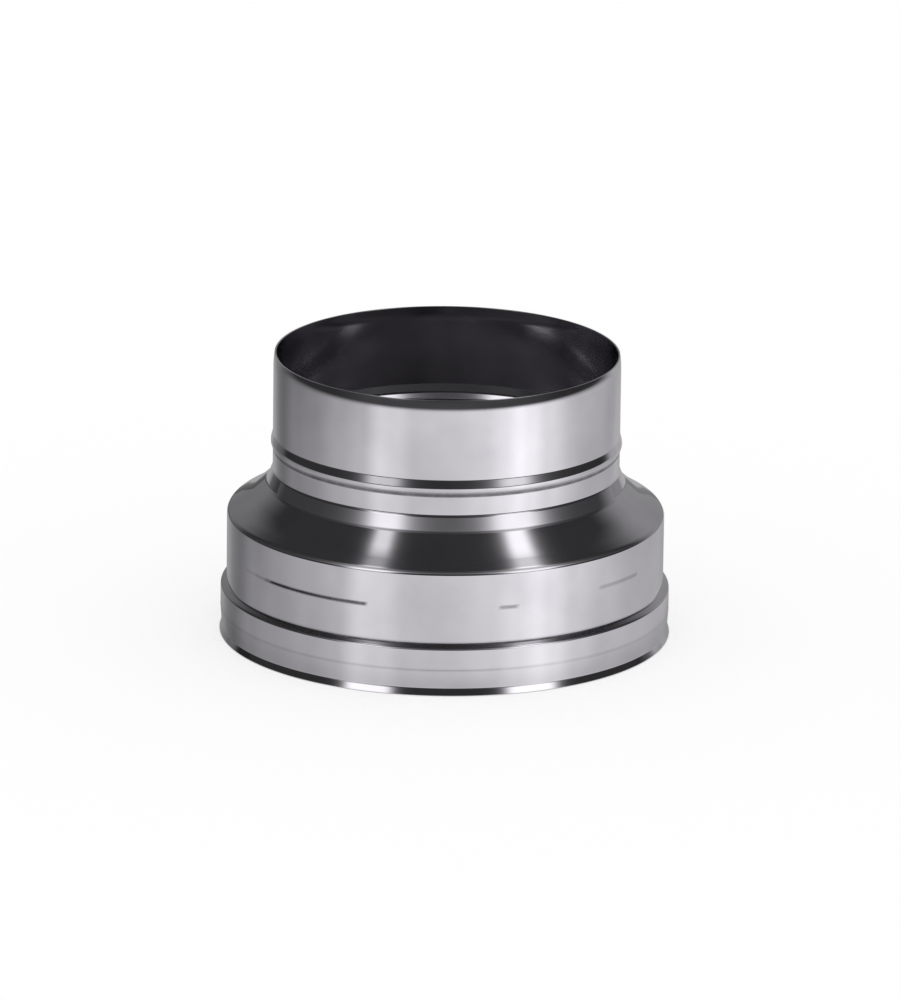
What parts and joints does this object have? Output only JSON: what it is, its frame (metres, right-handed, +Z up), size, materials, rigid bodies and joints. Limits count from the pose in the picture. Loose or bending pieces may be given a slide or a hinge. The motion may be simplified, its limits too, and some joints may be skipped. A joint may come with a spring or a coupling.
{
  "type": "duct reducer",
  "caption": "Round concentric duct reducer in bright sheet metal: narrow spigot with a stop bead, hollow shoulder, plain body wall and a wider stepped mouth with a flared lip.",
  "frame": {"origin": "centre of the foot's circle, on the plane that the wide end stands on", "axes": "+Z up along the duct axis, from the wide mouth to the narrow spigot; -Y faces the viewer of the picture"},
  "size_m": [0.1292, 0.1292, 0.0821],
  "materials": {
    "galvanised_sheet": "bright spun sheet, faint marks round the axis"
  },
  "bodies": {
    "root": {"reducer": "galvanised_sheet"}
  },
  "joints": []
}
